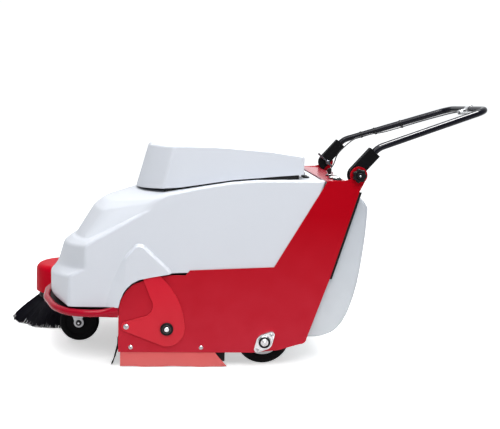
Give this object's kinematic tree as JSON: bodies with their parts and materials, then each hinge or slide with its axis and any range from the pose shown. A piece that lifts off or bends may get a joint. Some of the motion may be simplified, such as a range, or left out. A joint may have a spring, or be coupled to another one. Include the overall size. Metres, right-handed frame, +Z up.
{
  "type": "walk-behind floor sweeper",
  "caption": "Battery walk-behind sweeper with a white hood and lid, red side plates, rear hopper, side brush, castor and a folding black handle.",
  "frame": {"origin": "on the floor, right below the middle of the rear axle", "axes": "+X rearward towards the handle, +Y the machine's right, where the side brush is, +Z up"},
  "size_m": [1.8515, 0.906, 0.9663],
  "materials": {
    "white_plastic": "satin, moulded",
    "grey_plastic": "satin, moulded",
    "red_paint": "gloss powder coat",
    "red_plastic": "gloss",
    "black_paint": "gloss powder coat",
    "dark_steel": "satin",
    "zinc": "zinc plated",
    "aluminium": "cast",
    "black_plastic": "matte",
    "black_rubber": "matte",
    "tyre_rubber": "satin",
    "red_rubber": "matte",
    "bristle": "bristles",
    "cable_jacket": "satin",
    "filter_paper": "pleated",
    "battery_case": "satin",
    "gauge_face": "clear over pale dial"
  },
  "bodies": {
    "chassis": {"side_plate_left": "red_paint", "side_plate_right": "red_paint", "rear_edge_seals": "black_rubber", "cross_plates": "dark_steel", "brush_tunnel": "dark_steel", "bulkhead": "dark_steel", "battery_tray": "dark_steel", "nose_deck": "dark_steel", "bumper": "red_paint", "hood": "white_plastic", "lid_hinge_base": "black_plastic", "dust_seals": "black_rubber", "axle_bearings": "zinc", "frame_bolts": "zinc", "traction_motor": "black_plastic", "traction_belt": "black_rubber", "batteries": "battery_case", "dust_filter": "filter_paper", "suction_fan": "black_plastic", "motor_controller": "black_plastic", "side_skirts": "red_rubber", "skirt_clamps": "dark_steel", "floor_flaps": "black_rubber", "side_brush_bracket": "red_paint", "control_panel": "red_paint", "switch_bodies": "black_plastic", "battery_gauge": "gauge_face", "charger_socket": "black_plastic"},
    "top_lid": {"lid": "white_plastic", "lid_hinge_leaf": "black_plastic"},
    "rear_wheels": {"rear_axle": "zinc", "rear_tyres": "tyre_rubber", "rear_rims": "aluminium", "axle_pulley": "zinc"},
    "motor_spindle": {"motor_pulley": "zinc"},
    "idler": {"belt_idler": "black_plastic"},
    "debris_hopper": {"hopper": "grey_plastic"},
    "brush_carriage": {"swing_arms": "red_paint", "brush_bearing_left": "black_plastic", "brush_motor": "black_plastic"},
    "main_brush": {"main_brush_core": "black_plastic", "main_brush_bristles": "bristle"},
    "castor_swivel": {"castor_fork": "zinc"},
    "castor_roller": {"castor_wheel": "tyre_rubber"},
    "side_arm": {"side_brush_arm": "red_paint", "side_brush_guard": "red_plastic", "side_brush_motor": "black_plastic"},
    "side_brush": {"side_brush_block": "black_plastic", "side_brush_bristles": "bristle"},
    "ignition_key": {"key": "aluminium"},
    "toggle": {"toggle_lever": "aluminium"},
    "handle": {"handle_brackets": "black_paint", "handle_tube": "black_paint", "tee_bolts": "dark_steel", "lever_clamp": "aluminium", "cable_clips": "black_plastic", "drive_cable": "cable_jacket"},
    "drive_lever": {"hand_lever": "aluminium"},
    "knob_left": {"star_knob_left": "black_plastic"},
    "knob_right": {"star_knob_right": "black_plastic"}
  },
  "joints": [
    {"name": "handle_fold", "type": "hinge", "parent": "chassis", "child": "handle", "pos_m": [0.312, 0, 0.706], "axis": [0, 1, 0], "range_deg": [-100, 15], "deforming": ["drive_cable"]},
    {"name": "lid_open", "type": "hinge", "parent": "chassis", "child": "top_lid", "pos_m": [0.133, 0, 0.699], "axis": [0, 1, 0], "range_deg": [0, 65]},
    {"name": "hopper_slide", "type": "slide", "parent": "chassis", "child": "debris_hopper", "axis": [1, 0, 0], "range_m": [0, 0.36]},
    {"name": "brush_lift", "type": "hinge", "parent": "chassis", "child": "brush_carriage", "pos_m": [-0.491, 0, 0.152], "axis": [0, 1, 0], "range_deg": [-8, 0]},
    {"name": "main_brush_spin", "type": "hinge", "parent": "brush_carriage", "child": "main_brush", "pos_m": [-0.349, 0, 0.144], "axis": [0, 1, 0], "continuous": true},
    {"name": "side_arm_lift", "type": "hinge", "parent": "chassis", "child": "side_arm", "pos_m": [-0.56, 0.314, 0.23], "axis": [0, 1, 0], "range_deg": [0, 12]},
    {"name": "side_brush_spin", "type": "hinge", "parent": "side_arm", "child": "side_brush", "pos_m": [-0.806, 0.35, 0.1], "axis": [0, 0, 1], "continuous": true},
    {"name": "castor_swivel_turn", "type": "hinge", "parent": "chassis", "child": "castor_swivel", "pos_m": [-0.737, 0, 0.185], "axis": [0, 0, 1], "continuous": true},
    {"name": "castor_roll", "type": "hinge", "parent": "castor_swivel", "child": "castor_roller", "pos_m": [-0.697, 0, 0.075], "axis": [0, 1, 0], "continuous": true},
    {"name": "axle_spin", "type": "hinge", "parent": "chassis", "child": "rear_wheels", "pos_m": [0, 0, 0.1], "axis": [0, 1, 0], "continuous": true},
    {"name": "motor_spin", "type": "hinge", "parent": "chassis", "child": "motor_spindle", "pos_m": [-0.02, 0.284, 0.385], "axis": [0, 1, 0], "continuous": true},
    {"name": "lever_squeeze", "type": "hinge", "parent": "handle", "child": "drive_lever", "pos_m": [0.77672, -0.02, 0.93946], "axis": [-0.3239, 0, 0.9461], "range_deg": [0, 11], "stiffness_Nm_per_rad": 0.6},
    {"name": "idler_swing", "type": "hinge", "parent": "chassis", "child": "idler", "pos_m": [-0.088, 0.296, 0.305], "axis": [0, 1, 0], "range_deg": [-4, 0]},
    {"name": "key_turn", "type": "hinge", "parent": "chassis", "child": "ignition_key", "pos_m": [0.246, -0.112, 0.684], "axis": [0, 0, 1], "range_deg": [-90, 0]},
    {"name": "toggle_tip", "type": "hinge", "parent": "chassis", "child": "toggle", "pos_m": [0.246, -0.165, 0.682], "axis": [0, 1, 0], "range_deg": [-14, 14]},
    {"name": "knob_left_turn", "type": "hinge", "parent": "handle", "child": "knob_left", "pos_m": [0.312, -0.31, 0.706], "axis": [0, 1, 0], "range_deg": [0, 360]},
    {"name": "knob_right_turn", "type": "hinge", "parent": "handle", "child": "knob_right", "pos_m": [0.312, 0.31, 0.706], "axis": [0, 1, 0], "range_deg": [0, 360]}
  ],
  "couplings": [
    {"joint": "motor_spin", "follows": "axle_spin", "ratio": 2.8},
    {"joint": "idler_swing", "follows": "lever_squeeze", "ratio": -0.36}
  ]
}
